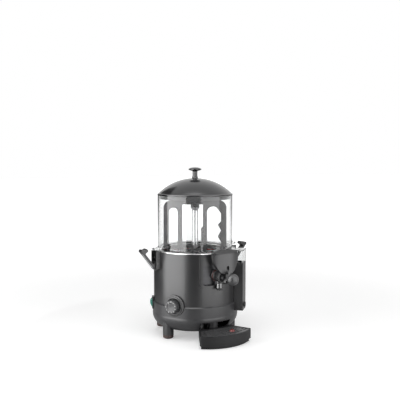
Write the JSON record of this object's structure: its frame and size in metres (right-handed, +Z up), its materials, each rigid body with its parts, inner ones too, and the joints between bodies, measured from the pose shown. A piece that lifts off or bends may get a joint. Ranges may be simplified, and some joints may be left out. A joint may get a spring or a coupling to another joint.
{
  "type": "hot chocolate dispenser",
  "caption": "Countertop hot drink dispenser: round heated body, clear lift-off bowl with lid, turning paddle, lever tap behind a shield, water gauge column and drip tray.",
  "frame": {"origin": "on the bowl's axis, at the surface that the machine stands on", "axes": "+Z up along the bowl's axis, -Y towards the tap and the user, +X to the machine's right as the user faces it"},
  "size_m": [0.3364, 0.327, 0.458],
  "materials": {
    "shell_black": "satin",
    "shell_grey": "satin",
    "gloss_black": "gloss",
    "paddle_grey": "matte",
    "foot_rubber": "matte",
    "seal_red": "satin",
    "seal_brown": "satin",
    "steel": "brushed",
    "polished_steel": "polished",
    "aluminium": "cast",
    "brass": "satin",
    "clear_plastic": "clear",
    "switch_green": "gloss",
    "float_red": "satin"
  },
  "bodies": {
    "base": {"lower_shell": "shell_grey", "upper_shell": "shell_black", "bottom_plate": "steel", "feet": "shell_grey", "foot_pads": "foot_rubber", "tray_column": "shell_grey", "rim_ring": "steel", "product_tank": "steel", "bath_tank": "steel", "heating_element": "polished_steel", "temperature_sensor": "steel", "shaft_tube": "polished_steel", "tube_collar": "polished_steel", "tube_bushes": "brass", "gear_motor": "aluminium", "gearbox": "gloss_black", "motor_bracket": "steel", "front_panel": "shell_black", "recess_liner": "steel", "tap_outlet": "polished_steel", "tap_nut": "polished_steel", "tap_o_ring": "seal_brown", "tap_body": "gloss_black", "tap_spout": "polished_steel", "spout_tip": "gloss_black", "front_hood": "shell_black", "front_shield": "shell_black", "lever_spring": "steel", "pivot_pins": "polished_steel", "latch_brackets": "shell_black", "knob_bezel": "shell_black", "thermostat_body": "shell_black", "switch_housing": "shell_black", "gauge_housing": "shell_black", "gauge_glass": "clear_plastic", "gauge_cap": "clear_plastic", "gauge_pipe": "steel", "drain_plug": "shell_black", "cable_gland": "shell_grey", "plate_screws": "steel"},
    "stirrer": {"drive_shaft": "polished_steel", "shaft_coupling": "aluminium", "drive_head": "gloss_black"},
    "paddle": {"paddle": "paddle_grey"},
    "bowl": {"bowl": "clear_plastic", "bowl_gasket": "seal_red"},
    "lid": {"lid": "gloss_black", "lid_knob": "gloss_black", "lid_screw": "steel"},
    "piston": {"tap_piston": "gloss_black", "piston_seals": "seal_brown"},
    "lever": {"tap_lever": "gloss_black", "lever_knob": "gloss_black"},
    "thermostat_knob": {"thermostat_knob": "shell_black"},
    "rocker": {"switch_rocker": "switch_green"},
    "right_latch": {"right_latch": "shell_black"},
    "left_latch": {"left_latch": "shell_black"},
    "tray": {"drip_tray": "gloss_black"},
    "grille": {"drip_grille": "gloss_black"},
    "float": {"tray_float": "float_red"}
  },
  "joints": [
    {"name": "stirrer_spin", "type": "hinge", "parent": "base", "child": "stirrer", "pos_m": [0, 0, 0.3], "axis": [0, 0, 1], "continuous": true},
    {"name": "paddle_lift", "type": "slide", "parent": "stirrer", "child": "paddle", "axis": [0, 0, 1], "range_m": [0, 0.153]},
    {"name": "bowl_lift", "type": "slide", "parent": "base", "child": "bowl", "axis": [0, 0, 1], "range_m": [0, 0.38]},
    {"name": "lid_lift", "type": "slide", "parent": "bowl", "child": "lid", "axis": [0, 0, 1], "range_m": [0, 0.05]},
    {"name": "tap_lever_pull", "type": "hinge", "parent": "base", "child": "lever", "pos_m": [0, -0.157, 0.224], "axis": [-1, 0, 0], "range_deg": [0, 17.2], "stiffness_Nm_per_rad": 0.4, "springref_deg": -5.73},
    {"name": "tap_piston_slide", "type": "slide", "parent": "base", "child": "piston", "axis": [0, -1, 0], "range_m": [0, 0.0152]},
    {"name": "thermostat_turn", "type": "hinge", "parent": "base", "child": "thermostat_knob", "pos_m": [-0.10601, -0.06624, 0.094], "axis": [-0.848, -0.5299, 0], "range_deg": [0, 270]},
    {"name": "switch_rock", "type": "hinge", "parent": "base", "child": "rocker", "pos_m": [-0.10619, 0.03865, 0.085], "axis": [0.342, 0.9397, 0], "range_deg": [0, 14]},
    {"name": "right_latch_close", "type": "hinge", "parent": "base", "child": "right_latch", "pos_m": [0.1235, 0, 0.201], "axis": [0, -1, 0], "range_deg": [0, 38]},
    {"name": "left_latch_close", "type": "hinge", "parent": "base", "child": "left_latch", "pos_m": [-0.1235, 0, 0.201], "axis": [0, 1, 0], "range_deg": [0, 38]},
    {"name": "tray_slide", "type": "slide", "parent": "base", "child": "tray", "axis": [0, -1, 0], "range_m": [0, 0.15]},
    {"name": "grille_lift", "type": "slide", "parent": "tray", "child": "grille", "axis": [0, 0, 1], "range_m": [0, 0.03]},
    {"name": "float_rise", "type": "slide", "parent": "tray", "child": "float", "axis": [0, 0, 1], "range_m": [0, 0.012]}
  ],
  "couplings": [
    {"joint": "paddle_lift", "follows": "bowl_lift", "ratio": 0.4},
    {"joint": "tap_piston_slide", "follows": "tap_lever_pull", "m_per_rad": 0.05}
  ]
}
